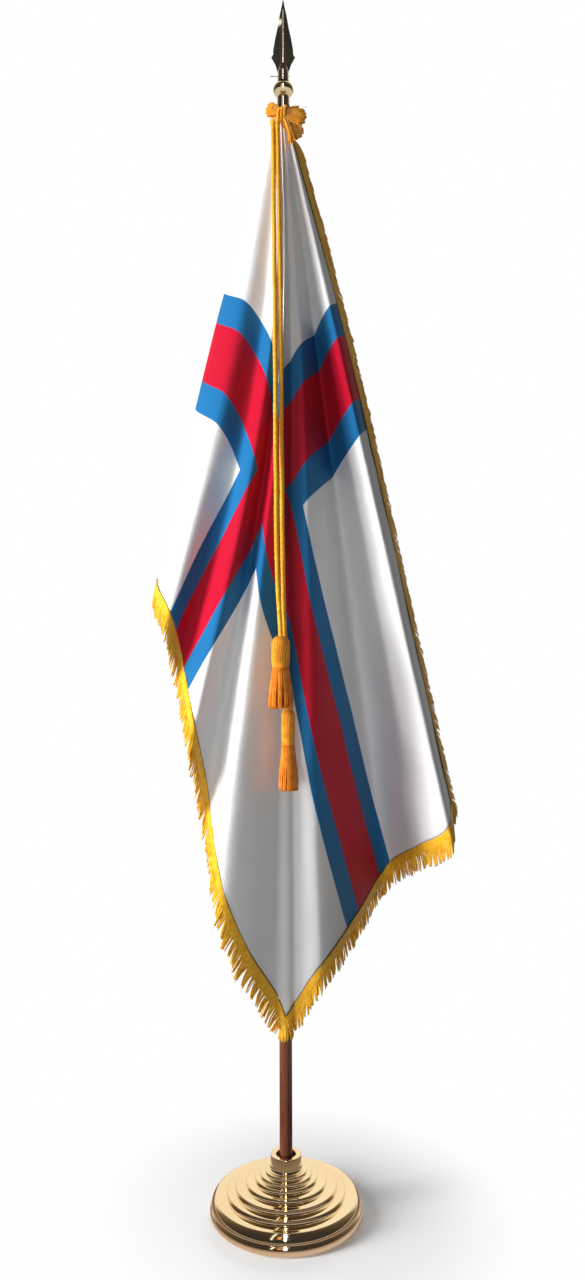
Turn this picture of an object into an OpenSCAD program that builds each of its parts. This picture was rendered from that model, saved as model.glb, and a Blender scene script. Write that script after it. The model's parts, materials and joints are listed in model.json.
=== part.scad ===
// Indoor flag set: a weighted round floor stand, a two-piece pole with a spear finial,
// a draped flag with a sewn fringe, and a tied cord with two tassels.
// Millimetres, +Z up. The origin is the middle of the floor pad's underside and the front is -Y.

/* [Stand] */
// Outside diameter of the base at its rolled lip
base_d = 304; // [290:1:320]
// Height of the rolled lip
lip_h = 24; // [20:1:26]
// Wall of the spun base shell
shell_wall = 1.5; // [1:0.1:2]
// Outside diameter of the pole socket
socket_d = 61; // [56:1:64]
// Bore of the pole socket
socket_bore_d = 38.6; // [36:0.1:40]
// Height of the socket's mouth above the floor
socket_top = 120; // [112:1:130]
// Depth of the reducer below the socket's mouth
liner_recess = 12; // [6:1:20]
// Thickness of the iron ballast ring
ballast_h = 22; // [14:1:22]

/* [Pole] */
// Diameter of the pole
pole_d = 25.4; // [25:0.1:25.8]
// Height of the screw joint between the two halves
joint_z = 1130; // [1080:5:1180]
// Height of the pole's shoulder under the top ferrule
pole_top = 2206; // [2150:1:2250]
// Radial clearance of every sliding or turning fit
fit = 0.05; // [0.02:0.01:0.08]

/* [Finial] */
// Diameter of the ball
ball_d = 42; // [36:1:46]
// Height of the ball
ball_h = 33; // [30:1:36]
// Length of the spear above the ball
spear_l = 164; // [150:1:180]
// Width of the blade across its barbs
blade_w = 48; // [42:1:54]

/* [Flag] */
// Cut length of the hoist, the edge along the pole
hoist = 914; // [900:1:920]
// Cut length of the fly, the edge away from the pole
fly = 1524; // [1500:1:1530]
// Thickness of the cloth solid
cloth_t = 1.5; // [1:0.1:2]
// Length of the fringe
fringe_w = 50; // [40:1:55]
// Thickness of the fringe solids
fringe_t = 3; // [2:0.5:4]

/* [Cord] */
// Diameter of the cord
cord_d = 8.5; // [7:0.5:9]

/* [Hidden] */
$fn = 96;
gap = 0.3;

// Base: lip, bevel, wide flat ring and six rounded steps, as radius and height
base_r = base_d / 2;
lip_bulge = 12;
foot_gap = 0.6;
bevel_top = 42;
bevel_run = 13;
step_r = [118, 101, 80, 62, 52, 42];
step_z = [bevel_top, 52, 62, 70, 78, 85, 91];
step_run = [7, 7, 7, 5, 4, 4];
shell_hole_r = 24.5;

// Stack under the shell, from the floor up
pad_h = 2;
cover_h = 1.5;
cover_r = 141;
nut_z = 5;
nut_h = 8;
nut_flats = 70;
washer_h = 3;
ballast_z = nut_z + nut_h + washer_h;
ballast_r = 128;
boss_r = 9;
screw_pcd = 200;
screw_r = 2.5;
screw_count = 4;

// Socket and reducer
socket_r = socket_d / 2;
socket_bore_r = socket_bore_d / 2;
socket_base_z = step_z[6];
shank_r = 24;
socket_floor = 9.5;
rest_z = socket_floor + gap;
pole_r = pole_d / 2;

// Screw joint, ferrules and finial stud
ferrule_wall = 1.4;
tenon_r = pole_r - 0.7;
tenon_l = 15;
joint_plug = 20;
stud_r = 4;
stud_reach = 40;
top_tenon_r = pole_r - 1.1;
top_ferrule_h = 23;
top_plug = 8;
top_flange_r = 14.5;
top_flange_h = 6;
finial_stud_r = 3.2;
finial_z = pole_top + top_ferrule_h + gap;
spear_z = finial_z + ball_h;
neck_r = 11.5;
neck_h = 20;
pin_r = 1;
pin_z = spear_z + 11;
drill_slack = 0.6;

// Half outline of the blade above the ball, as half width over half blade_w, and height over spear_l
blade_outline = [
    [0.44, 0.10], [0.52, 0.14], [0.67, 0.21], [1.00, 0.295], [0.84, 0.33], [0.83, 0.385],
    [0.66, 0.53], [0.46, 0.66], [0.27, 0.82], [0.13, 0.91], [0.03, 1.00]
];

// Drape. Each row is one ray from the top of the hoist, followed across the cloth:
// angle on the flat cloth from the hoist, angles seen from the front low down and near the top (+ right),
// angle forward of the pole's plane, and where round the pole the ray begins.
fold_rays = [
    [0, 0, 0, 0, 120],
    [7, -7.6, -8.6, -3.4, 145],
    [15, -14, -17, -4, 180],
    [24, -13.2, -8.6, 1.4, 215],
    [33, -11.8, -3, -0.6, 235],
    [41, -9, 0.2, 2.6, 245],
    [47, -6.9, 1.6, 0.2, 250],
    [53, -4.5, 2, 2.2, 254],
    [56, -2.5, 2.2, 1.4, 257],
    [59, 0, 2.8, -0.4, 262],
    [65, 2.2, 4.8, 0.2, 266],
    [71, 5.2, 6.6, -3.6, 270],
    [76.5, 8, 8.4, -8, 274],
    [82, 10.6, 10.2, -3.6, 278],
    [86.5, 12.6, 12.8, 0.8, 281],
    [90, 13.5, 15.6, -2.4, 284],
    [102, 17, 19.4, -8, 288],
    [116, 21, 23.8, -15, 292]
];
apex_z = 2192;
apex_r = 19;
pole_keepout = 18;
keepout_slope = 3;
first_r = 60;
corner_angle = atan(fly / hoist);
ray_scale = 1.01;
ray_scale_top = 0.93;
top_rays = 76;
gather_r = 850;
back_rays = 16;
normal_step = 0.2;
cloth_gap = 1.8;

// Flag sleeve, tabs and their screws
sleeve_r = 15.6;
sleeve_wall = 1;
sleeve_top = 2160;
tab_h = 14;
tab_wall = 2;
tab_screw_r = 3.4;

// Cord, bow and tassels
cord_r = cord_d / 2;
cord_sides = 8;
cord_steps = 4;
short_route = [
    [-20, -33, 2168], [-20, -36, 2140], [-19, -38, 2080], [-19, -40, 2010], [-18, -42, 1940],
    [-18, -45, 1870], [-17, -48, 1800], [-17, -51, 1730], [-16, -54, 1660], [-16, -58, 1590],
    [-16, -62, 1520], [-15, -66, 1450], [-15, -70, 1380], [-14, -75, 1310], [-12, -80, 1245],
    [-9, -85, 1195], [-7, -88, 1156]
];
long_route = [
    [-11, -34, 2168], [-11, -36, 2140], [-10, -38, 2080], [-9, -40, 2010], [-8, -42, 1940],
    [-7, -44, 1870], [-6, -46, 1800], [-6, -48, 1730], [-5, -50, 1660], [-5, -51, 1590],
    [-5, -52, 1520], [-4, -53, 1450], [-4, -54, 1380], [-3, -55, 1310], [-2, -56, 1240],
    [0, -57, 1170], [3, -58, 1110], [6, -58, 1060], [7, -58, 1014]
];
knot_at = [-3, -33, 2180];
knot_size = [11, 8, 13];
loop_tube = 5.5;
// Bow loops: middle, tilt, and radius
loops = [
    [[-20, -27, 2189], [80, -12, 0], 9],
    [[21, -28, 2180], [82, 14, 0], 13],
    [[27, -21, 2155], [78, 30, 0], 11]
];

// Tassels: cord end, head radius and height, skirt radius at top and hem, and skirt height
short_tassel = [short_route[len(short_route) - 1], 17, 63, 18, 25, 79];
long_tassel = [long_route[len(long_route) - 1], 13, 72, 13.5, 20, 89];
tassel_gap = 0.5;

function mix(a, b, t) = a + (b - a) * t;
function ease(t) = (1 - cos(180 * t)) / 2;
function unit(v) = v / norm(v);

// Points of an elliptical arc, as radius and height
function arc(cx, cz, rx, rz, from, to, n) =
    [for (i = [0:n]) let (a = mix(from, to, i / n)) [cx + rx * cos(a), cz + rz * sin(a)]];

// A cubic through the values of column c, level where the values turn back
function slope(t, i, c) =
    i == 0 || i == len(t) - 1 ? 0
    : (t[i + 1][c] - t[i][c]) * (t[i][c] - t[i - 1][c]) <= 0 ? 0
    : (t[i + 1][c] - t[i - 1][c]) / (t[i + 1][0] - t[i - 1][0]);
function row_at(t, x, i = 0) = i >= len(t) - 2 || x < t[i + 1][0] ? i : row_at(t, x, i + 1);
function cubic(t, x, c) =
    let (i = row_at(t, x), w = t[i + 1][0] - t[i][0], s = min(1, (x - t[i][0]) / w))
    let (a = t[i][c], b = t[i + 1][c], p = slope(t, i, c) * w, q = slope(t, i + 1, c) * w)
    a + p * s + (3 * (b - a) - 2 * p - q) * s * s + (2 * (a - b) + p + q) * s * s * s;

// Where a point of the flat cloth hangs, from its angle and distance at the top of the hoist
function ray_length(angle) =
    mix(ray_scale, ray_scale_top, max(0, min(1, (angle - top_rays) / (90 - top_rays))));
function clear_of_pole(p, angle) =
    angle < back_rays ? p
    : let (x = abs(p.x), front = x < pole_keepout ? -sqrt(pole_keepout * pole_keepout - x * x)
        : keepout_slope * (x - pole_keepout))
    [p.x, min(p.y, front), p.z];
function drape(angle, r) =
    let (side = mix(cubic(fold_rays, angle, 1), cubic(fold_rays, angle, 2), exp(-pow(r / gather_r, 2))))
    let (ahead = cubic(fold_rays, angle, 3), round = cubic(fold_rays, angle, 4))
    let (l = r * ray_length(angle))
    clear_of_pole([
        apex_r * cos(round) + l * sin(side) * cos(ahead),
        apex_r * sin(round) - l * sin(ahead),
        apex_z - l * cos(side) * cos(ahead)
    ], angle);
function edge_r(angle) = min(hoist / max(0.001, cos(angle)), fly / max(0.001, sin(angle)));
function cloth_angle(u, v) = atan2(u, v);
function hang(u, v) = drape(cloth_angle(u, v), norm([u, v]));

// Rolled lip, bevel, ring and steps, from the floor up
function step_points(i) = arc(step_r[i] - step_run[i], step_z[i], step_run[i], step_z[i + 1] - step_z[i], 0, 90, 6);
function base_outline() = concat(
    arc(base_r - lip_bulge, lip_h / 2, lip_bulge, lip_h / 2, -71, 48, 14),
    [[base_r - 5, lip_h - 0.6]],
    arc(base_r - 3 - bevel_run, lip_h + 2, bevel_run, bevel_top - lip_h - 2, 0, 90, 10),
    [for (i = [0:len(step_r) - 1]) each step_points(i)]
);

module base_shell() {
    outer = base_outline();
    top = outer[len(outer) - 1].y;
    lip_inside = base_r - 6.5;
    color("khaki")
    difference() {
        rotate_extrude($fn = 180) polygon(concat([[0, foot_gap]], outer, [[0, top]]));
        rotate_extrude($fn = 180)
        polygon(concat(
            [[0, -shell_wall], [lip_inside - 3.5, -shell_wall]],
            [for (p = outer) if (p.y > lip_h) [min(p.x - shell_wall, lip_inside), p.y - shell_wall]],
            [[0, top - shell_wall]]
        ));
        cylinder(r = shell_hole_r, h = top + 1);
    }
}

module around(count, radius) {
    for (i = [0:count - 1]) rotate([0, 0, 45 + 360 * i / count]) translate([radius, 0, 0]) children();
}

module ballast_weight() {
    boss_z = pad_h + cover_h;
    color("dimgray")
    difference() {
        union() {
            translate([0, 0, ballast_z]) cylinder(r = ballast_r, h = ballast_h);
            around(screw_count, screw_pcd / 2) translate([0, 0, boss_z]) cylinder(r = boss_r, h = ballast_z + 1 - boss_z);
        }
        cylinder(r = shank_r + 1, h = ballast_z + ballast_h + 1);
        around(screw_count, screw_pcd / 2) cylinder(r = screw_r + fit, h = boss_z + 14, $fn = 32);
    }
}

module base_cover() {
    color("silver")
    difference() {
        translate([0, 0, pad_h]) cylinder(r = cover_r, h = cover_h);
        around(screw_count, screw_pcd / 2) cylinder(r = screw_r + fit, h = 10, $fn = 32);
        around(screw_count, screw_pcd / 2)
        translate([0, 0, pad_h - 0.01]) cylinder(r1 = 2 * screw_r, r2 = screw_r, h = 1.2, $fn = 32);
    }
}

module floor_pad() {
    color("darkolivegreen")
    cylinder(r = cover_r - 1, h = pad_h);
}

module cover_screws() {
    color("gray")
    around(screw_count, screw_pcd / 2) translate([0, 0, pad_h]) {
        cylinder(r = screw_r, h = 14, $fn = 32);
        cylinder(r1 = 2 * screw_r - 0.1, r2 = screw_r, h = 1.1, $fn = 32);
    }
}

module pole_socket() {
    mouth = 2.6;
    flare_run = 5.5;
    flare_rise = 8;
    color("goldenrod")
    rotate_extrude()
    polygon(concat(
        [[0, socket_floor - 4], [shank_r, socket_floor - 4], [shank_r, socket_base_z]],
        [[socket_r + flare_run, socket_base_z]],
        arc(socket_r + flare_run, socket_base_z + flare_rise + 1, flare_run, flare_rise, 270, 180, 6),
        arc(socket_r - mouth, socket_top - mouth, mouth, mouth, 0, 90, 5),
        arc(socket_bore_r + mouth, socket_top - mouth, mouth, mouth, 90, 180, 5),
        [[socket_bore_r, socket_floor], [0, socket_floor]]
    ));
}

module socket_washer() {
    color("silver")
    translate([0, 0, nut_z + nut_h])
    difference() {
        cylinder(r = nut_flats / 2 + 4, h = washer_h);
        translate([0, 0, -1]) cylinder(r = shank_r + 0.4, h = washer_h + 2);
    }
}

module socket_locknut() {
    color("gray")
    translate([0, 0, nut_z])
    difference() {
        cylinder(r = nut_flats / 2 / cos(30), h = nut_h, $fn = 6);
        translate([0, 0, -1]) cylinder(r = shank_r + fit, h = nut_h + 2);
    }
}

module socket_reducer() {
    color("black")
    translate([0, 0, rest_z])
    difference() {
        cylinder(r = socket_bore_r - fit, h = socket_top - liner_recess - rest_z);
        translate([0, 0, -1]) cylinder(r = pole_r + fit, h = socket_top);
    }
}

module lower_pole() {
    shoulder = joint_z - joint_plug - tenon_l;
    color("saddlebrown")
    difference() {
        union() {
            translate([0, 0, rest_z]) cylinder(r1 = pole_r - 1, r2 = pole_r, h = 1);
            translate([0, 0, rest_z + 1]) cylinder(r = pole_r, h = shoulder - rest_z - 1);
            translate([0, 0, shoulder]) cylinder(r = tenon_r, h = tenon_l);
        }
        translate([0, 0, joint_z - stud_reach - 5]) cylinder(r = stud_r + drill_slack, h = stud_reach, $fn = 48);
    }
}

// A tube over the pole's tenon with a drilled plug at the screw end; z = 0 is the screw end
module joint_ferrule() {
    bead = 0.8;
    outer_r = tenon_r + ferrule_wall;
    length = joint_plug + tenon_l;
    difference() {
        union() {
            cylinder(r = outer_r, h = length);
            translate([0, 0, length - 4]) cylinder(r = outer_r + bead, h = 2);
            translate([0, 0, 3]) cylinder(r = outer_r + bead, h = 2);
        }
        translate([0, 0, joint_plug]) cylinder(r = tenon_r, h = tenon_l + 1);
        translate([0, 0, -1]) cylinder(r = stud_r + fit, h = joint_plug + 2, $fn = 48);
    }
}

module lower_ferrule() {
    color("gold")
    translate([0, 0, joint_z]) mirror([0, 0, 1]) joint_ferrule();
}

module joint_stud() {
    color("darkgoldenrod")
    translate([0, 0, joint_z - stud_reach]) cylinder(r = stud_r, h = 2 * stud_reach, $fn = 48);
}

module upper_ferrule() {
    color("gold")
    translate([0, 0, joint_z + gap]) joint_ferrule();
}

module upper_pole() {
    foot = joint_z + gap + joint_plug;
    color("saddlebrown")
    difference() {
        union() {
            translate([0, 0, foot]) cylinder(r = tenon_r, h = tenon_l);
            translate([0, 0, foot + tenon_l]) cylinder(r = pole_r, h = pole_top - foot - tenon_l);
            translate([0, 0, pole_top]) cylinder(r = top_tenon_r, h = top_ferrule_h - top_plug);
        }
        translate([0, 0, foot - 1]) cylinder(r = stud_r + drill_slack, h = stud_reach, $fn = 48);
        translate([0, 0, pole_top - 8]) cylinder(r = finial_stud_r + drill_slack, h = 40, $fn = 48);
        translate([-pole_r - 1, 0, sleeve_top + tab_h]) rotate([0, 90, 0]) cylinder(r = 1.5, h = 10, $fn = 24);
        translate([-pole_r - 1, 0, joint_z + 90]) rotate([0, 90, 0]) cylinder(r = 1.5, h = 10, $fn = 24);
    }
}

module top_ferrule() {
    color("gold")
    translate([0, 0, pole_top])
    difference() {
        union() {
            cylinder(r = pole_r + 0.2, h = top_ferrule_h);
            cylinder(r = top_flange_r, h = top_flange_h);
        }
        translate([0, 0, -1]) cylinder(r = top_tenon_r, h = top_ferrule_h - top_plug + 1);
        cylinder(r = finial_stud_r + fit, h = top_ferrule_h + 1, $fn = 48);
    }
}

module finial_stud() {
    color("darkgoldenrod")
    translate([0, 0, pole_top - 2]) cylinder(r = finial_stud_r, h = 46, $fn = 48);
}

module finial_ball() {
    color("goldenrod")
    difference() {
        rotate_extrude()
        polygon(concat(
            [[0, finial_z]],
            arc(0, finial_z + ball_h / 2, ball_d / 2, ball_h / 2, -60, 60, 24),
            [[0, spear_z]]
        ));
        translate([0, 0, finial_z - 1]) cylinder(r = finial_stud_r + fit, h = 24, $fn = 48);
    }
}

module blade() {
    half = blade_w / 2;
    rib = 5;
    side = [for (p = blade_outline) [half * p.x, spear_l * p.y]];
    intersection() {
        rotate([90, 0, 0])
        linear_extrude(height = 4 * rib, center = true)
        polygon(concat(side, [for (i = [len(side) - 1:-1:0]) [-side[i].x, side[i].y]]));
        linear_extrude(height = spear_l + 1)
        polygon([[-half - 1, 0], [0, -rib], [half + 1, 0], [0, rib]]);
        rotate([90, 0, 90])
        linear_extrude(height = 2 * blade_w, center = true)
        polygon([[-rib - 1, 0], [rib + 1, 0], [0.7, spear_l], [-0.7, spear_l]]);
    }
}

module finial_spear() {
    rib_z = 0.3 * spear_l;
    rib_r = 6;
    color("darkkhaki")
    difference() {
        translate([0, 0, spear_z]) {
            cylinder(r = neck_r, h = neck_h);
            translate([0, 0, neck_h]) cylinder(r1 = neck_r, r2 = rib_r, h = rib_z - neck_h);
            translate([0, 0, rib_z]) cylinder(r1 = rib_r, r2 = 0.8, h = spear_l - rib_z);
            blade();
        }
        translate([-neck_r - 1, 0, pin_z]) rotate([0, 90, 0]) cylinder(r = pin_r, h = 2 * neck_r + 2, $fn = 24);
    }
}

module finial_pin() {
    color("silver")
    translate([-neck_r - 15, 0, pin_z]) rotate([0, 90, 0]) cylinder(r = pin_r, h = 2 * neck_r + 16, $fn = 24);
}

// A closed solid of even thickness along a grid of surface points and their normals
module sheet_solid(grid, normals, t) {
    rows = len(grid);
    cols = len(grid[0]);
    n = rows * cols;
    faces_front = [for (i = [0:rows - 2], j = [0:cols - 2]) let (a = i * cols + j)
        each [[a, a + cols, a + 1], [a + 1, a + cols, a + cols + 1]]];
    loop = concat(
        [for (j = [0:cols - 1]) j],
        [for (i = [1:rows - 1]) i * cols + cols - 1],
        [for (j = [cols - 2:-1:0]) (rows - 1) * cols + j],
        [for (i = [rows - 2:-1:1]) i * cols]
    );
    m = len(loop);
    faces_rim = [for (k = [0:m - 1]) let (a = loop[k], b = loop[(k + 1) % m])
        each [[a, b, a + n], [b, b + n, a + n]]];
    polyhedron(
        points = concat(
            [for (i = [0:rows - 1], j = [0:cols - 1]) grid[i][j] + normals[i][j] * t / 2],
            [for (i = [0:rows - 1], j = [0:cols - 1]) grid[i][j] - normals[i][j] * t / 2]
        ),
        faces = concat(faces_front, [for (f = faces_front) [f[0] + n, f[2] + n, f[1] + n]], faces_rim),
        convexity = 10
    );
}

// Normal of the hanging cloth at a point of the flat cloth
function cloth_normal(u, v) =
    let (e = normal_step * max(1, norm([u, v]) / 100))
    unit(cross(hang(u + e, v) - hang(u - e, v), hang(u, v + e) - hang(u, v - e)));

module cloth_patch(flat, t) {
    sheet_solid(
        [for (row = flat) [for (p = row) hang(p[0], p[1])]],
        [for (row = flat) [for (p = row) cloth_normal(p[0], p[1])]],
        t
    );
}

module flag_cloth() {
    hoist_rays = 50;
    fly_rays = 30;
    rings = 14;
    angles = concat(
        [for (i = [0:hoist_rays]) mix(0.01, corner_angle, i / hoist_rays)],
        [for (i = [1:fly_rays]) mix(corner_angle, 89.99, i / fly_rays)]
    );
    color("whitesmoke")
    cloth_patch([for (a = angles) [for (j = [0:rings]) let (r = mix(first_r, edge_r(a), j / rings))
        [r * sin(a), r * cos(a)]]], cloth_t);
}

module top_fringe() {
    steps = 44;
    start = 80;
    color("goldenrod")
    cloth_patch([for (i = [0:steps]) let (u = mix(start, fly, i / steps))
        [for (v = [-fringe_w, -fringe_w / 2, -cloth_gap]) [u - v / fringe_w * (i == steps ? fringe_w : 0), v]]], fringe_t);
}

module fly_fringe() {
    steps = 36;
    color("goldenrod")
    cloth_patch([for (i = [0:steps]) let (t = i / steps)
        [for (w = [fringe_w, fringe_w / 2, cloth_gap])
            [fly + w, mix(1 - w, hoist + w - 1, t)]]], fringe_t);
}

module bottom_fringe() {
    steps = 66;
    color("goldenrod")
    cloth_patch([for (i = [0:steps]) let (t = i / steps)
        [for (w = [cloth_gap, fringe_w / 2, fringe_w]) [mix(2, fly + w - 1, t), hoist + w]]], fringe_t);
}

module pole_sleeve() {
    foot = sleeve_top - hoist + 20;
    color("white")
    translate([0, 0, foot])
    difference() {
        cylinder(r = sleeve_r, h = sleeve_top - foot);
        translate([0, 0, -1]) cylinder(r = sleeve_r - sleeve_wall, h = hoist + 2);
    }
}

// Leather rings round the pole at the ends of the sleeve, each held by one screw
tab_zs = [sleeve_top + tab_h / 2, joint_z + 90 - tab_h / 2];

module hoist_tabs() {
    color("sienna")
    for (z = tab_zs) translate([0, 0, z])
    difference() {
        cylinder(r = pole_r + tab_wall, h = tab_h);
        translate([0, 0, -1]) cylinder(r = pole_r, h = tab_h + 2);
        translate([-pole_r - 5, 0, tab_h / 2]) rotate([0, 90, 0]) cylinder(r = 1.6, h = 8, $fn = 24);
    }
}

module tab_screws() {
    color("gray")
    for (z = tab_zs) translate([-pole_r - tab_wall, 0, z + tab_h / 2]) {
        rotate([0, 90, 0]) cylinder(r = 1.4, h = 9, $fn = 24);
        rotate([0, -90, 0]) cylinder(r = tab_screw_r, h = 3, $fn = 32);
        translate([-3, 0, 0]) rotate([0, -90, 0]) cylinder(r1 = tab_screw_r, r2 = 1.2, h = 1.6, $fn = 32);
    }
}

module bow_knot() {
    color("orange")
    translate(knot_at) hull() {
        for (s = [-1, 1]) translate([0, 0, s * (knot_size.z - knot_size.y)]) sphere(r = knot_size.y, $fn = 28);
        for (s = [-1, 1]) translate([s * (knot_size.x - knot_size.y), 0, 0]) sphere(r = knot_size.y, $fn = 28);
    }
}

module bow_loops() {
    color("orange")
    for (l = loops) translate(l[0]) rotate(l[1])
    rotate_extrude($fn = 48) translate([l[2], 0]) circle(r = loop_tube, $fn = 24);
}

// A point of the smooth curve through a route, between points i and i + 1
function along(p, i, t) =
    let (a = p[max(0, i - 1)], b = p[i], c = p[i + 1], d = p[min(len(p) - 1, i + 2)])
    0.5 * (2 * b + (c - a) * t + (2 * a - 5 * b + 4 * c - d) * t * t + (3 * b - a - 3 * c + d) * t * t * t);
function curve(p, steps) = concat(
    [for (i = [0:len(p) - 2], s = [0:steps - 1]) along(p, i, s / steps)],
    [p[len(p) - 1]]
);

// A round cord along a route that runs mostly downwards
module cord(route) {
    path = curve(route, cord_steps);
    n = len(path);
    k = cord_sides;
    rings = [for (i = [0:n - 1])
        let (t = unit(path[min(n - 1, i + 1)] - path[max(0, i - 1)]), x = unit(cross(t, [0, 1, 0])), y = cross(t, x))
        each [for (s = [0:k - 1]) path[i] + cord_r * (x * cos(360 * s / k) + y * sin(360 * s / k))]];
    walls = [for (i = [0:n - 2], s = [0:k - 1]) let (a = i * k + s, b = i * k + (s + 1) % k)
        each [[a, b, a + k], [b, b + k, a + k]]];
    polyhedron(
        points = rings,
        faces = concat(walls, [[for (s = [k - 1:-1:0]) s]], [[for (s = [0:k - 1]) (n - 1) * k + s]]),
        convexity = 10
    );
}

module short_cord() {
    color("gold")
    cord(short_route);
}

module long_cord() {
    color("gold")
    cord(long_route);
}

// The head is a domed barrel whose dome is a sphere about the swing's pivot
module tassel_head(t) {
    r = t[1];
    top = t[0].z - tassel_gap;
    waist = 0.82;
    translate([t[0].x, t[0].y, 0])
    rotate_extrude($fn = 64)
    polygon(concat(
        [[0, top - t[2]], [t[3], top - t[2]]],
        [[t[3], top - t[2] + 4], [waist * r + 1, top - t[2] + 9], [waist * r + 2, top - t[2] + 16]],
        arc(0, top - r, r, r, 0, 85, 12),
        [[0, top]]
    ));
}

module tassel_skirt(t) {
    top = t[0].z - tassel_gap - t[2];
    hem = 4;
    translate([t[0].x, t[0].y, 0])
    rotate_extrude($fn = 64)
    polygon(concat(
        [[0, top - t[5]]],
        arc(t[4] - hem, top - t[5] + hem, hem, hem, 270, 360, 4),
        [[mix(t[4], t[3], 0.5) + 1.5, top - t[5] / 2], [t[3], top], [0, top]]
    ));
}

module short_tassel_head() {
    color("gold")
    tassel_head(short_tassel);
}

module short_tassel_skirt() {
    color("darkorange")
    tassel_skirt(short_tassel);
}

module long_tassel_head() {
    color("gold")
    tassel_head(long_tassel);
}

module long_tassel_skirt() {
    color("darkorange")
    tassel_skirt(long_tassel);
}

base_shell();
ballast_weight();
base_cover();
floor_pad();
cover_screws();
pole_socket();
socket_washer();
socket_locknut();
socket_reducer();
lower_pole();
lower_ferrule();
joint_stud();
upper_ferrule();
upper_pole();
top_ferrule();
finial_stud();
finial_ball();
finial_spear();
finial_pin();
flag_cloth();
pole_sleeve();
hoist_tabs();
tab_screws();
top_fringe();
fly_fringe();
bottom_fringe();
bow_knot();
bow_loops();
short_cord();
long_cord();
short_tassel_head();
short_tassel_skirt();
long_tassel_head();
long_tassel_skirt();
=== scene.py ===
import json
import math
import random

import bpy
import numpy as np
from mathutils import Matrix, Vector, noise


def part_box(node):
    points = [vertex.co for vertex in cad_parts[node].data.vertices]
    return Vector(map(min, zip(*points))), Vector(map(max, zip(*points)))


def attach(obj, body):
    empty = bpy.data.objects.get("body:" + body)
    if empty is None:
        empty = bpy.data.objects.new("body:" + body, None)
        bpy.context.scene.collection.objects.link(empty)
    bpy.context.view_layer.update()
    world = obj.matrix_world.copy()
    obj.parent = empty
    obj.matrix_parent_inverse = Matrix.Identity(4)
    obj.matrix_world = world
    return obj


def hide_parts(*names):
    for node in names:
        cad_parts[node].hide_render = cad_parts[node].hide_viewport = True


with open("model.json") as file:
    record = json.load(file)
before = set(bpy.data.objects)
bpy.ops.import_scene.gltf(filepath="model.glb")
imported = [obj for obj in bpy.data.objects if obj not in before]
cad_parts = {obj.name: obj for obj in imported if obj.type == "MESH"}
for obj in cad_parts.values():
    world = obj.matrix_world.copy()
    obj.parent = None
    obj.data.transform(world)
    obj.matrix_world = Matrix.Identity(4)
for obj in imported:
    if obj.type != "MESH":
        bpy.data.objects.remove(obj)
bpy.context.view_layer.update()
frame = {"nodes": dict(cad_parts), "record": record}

MM = 0.001
UP = Vector((0, 0, 1))
scene = bpy.context.scene


# ---------------------------------------------------------------- meshes

def add_mesh(name, verts, faces, body, uvs=None, smooth=True):
    """A mesh piece from points in metres, riding on a body. uvs is one pair per vertex."""
    mesh = bpy.data.meshes.new(name)
    mesh.from_pydata([tuple(v) for v in verts], [], faces)
    if uvs is not None:
        layer = mesh.uv_layers.new(name="Flat")
        corner = np.empty(len(mesh.loops), np.int32)
        mesh.loops.foreach_get("vertex_index", corner)
        layer.data.foreach_set("uv", np.asarray(uvs, np.float32)[corner].ravel())
    if smooth:
        mesh.shade_smooth()
    mesh.update()
    piece = bpy.data.objects.new(name, mesh)
    scene.collection.objects.link(piece)
    if body:
        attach(piece, body)
    return piece


def grid_faces(rows, cols, wrap=False, start=0):
    """Quads between rows of points; wrap joins each row's last point to its first."""
    faces = []
    for i in range(rows - 1):
        for j in range(cols if wrap else cols - 1):
            a, b = start + i * cols + j, start + i * cols + (j + 1) % cols
            faces.append((a, b, b + cols, a + cols))
    return faces


class Tubes:
    """Many closed tubes gathered into one mesh."""

    def __init__(self):
        self.verts, self.faces, self.uvs = [], [], []

    def add(self, path, radius, sides, ply, pitch, depth, phase=0.0, seed=0.0):
        """A tube along a path. ply strands twist round it, one turn in each pitch, and depth is
        how far the grooves between them cut in. radius is a number or a function of 0..1. In its
        flat map, u is seed and v is the length travelled."""
        start, count = len(self.verts), len(path)
        side = None
        travelled = 0.0
        total = sum((path[i + 1] - path[i]).length for i in range(count - 1))
        for i, p in enumerate(path):
            ahead = (path[min(count - 1, i + 1)] - path[max(0, i - 1)]).normalized()
            if side is None:
                side = ahead.orthogonal().normalized()
            side = (side - ahead * side.dot(ahead)).normalized()
            other = ahead.cross(side)
            if i:
                travelled += (p - path[i - 1]).length
            share = travelled / total
            r = radius(share) if callable(radius) else radius
            twist = 2 * math.pi * travelled / pitch
            for s in range(sides):
                a = 2 * math.pi * s / sides
                groove = abs(math.cos(ply * (a - twist) / 2 + phase))
                k = r * (1 - depth + depth * groove)
                self.verts.append(p + (side * math.cos(a) + other * math.sin(a)) * k)
                self.uvs.append((seed, travelled))
        self.faces += grid_faces(count, sides, True, start)
        self.faces.append(tuple(start + s for s in reversed(range(sides))))
        self.faces.append(tuple(start + (count - 1) * sides + s for s in range(sides)))

    def piece(self, name, body):
        return add_mesh(name, self.verts, self.faces, body, self.uvs)


def lathe(name, profile, body, segments):
    """A turned piece from (radius, height) points, in order along its outline."""
    verts = []
    for r, z in profile:
        for s in range(segments):
            a = 2 * math.pi * s / segments
            verts.append((r * math.cos(a), r * math.sin(a), z))
    faces = grid_faces(len(profile), segments, True)
    faces.append(tuple(reversed(range(segments))))
    faces.append(tuple((len(profile) - 1) * segments + s for s in range(segments)))
    return add_mesh(name, verts, faces, body)


def arc(cx, cz, rx, rz, start, end, steps):
    """Points of an elliptical arc, as radius and height, with angles in degrees."""
    turn = [math.radians(start + (end - start) * i / steps) for i in range(steps + 1)]
    return [(cx + rx * math.cos(a), cz + rz * math.sin(a)) for a in turn]


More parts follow.
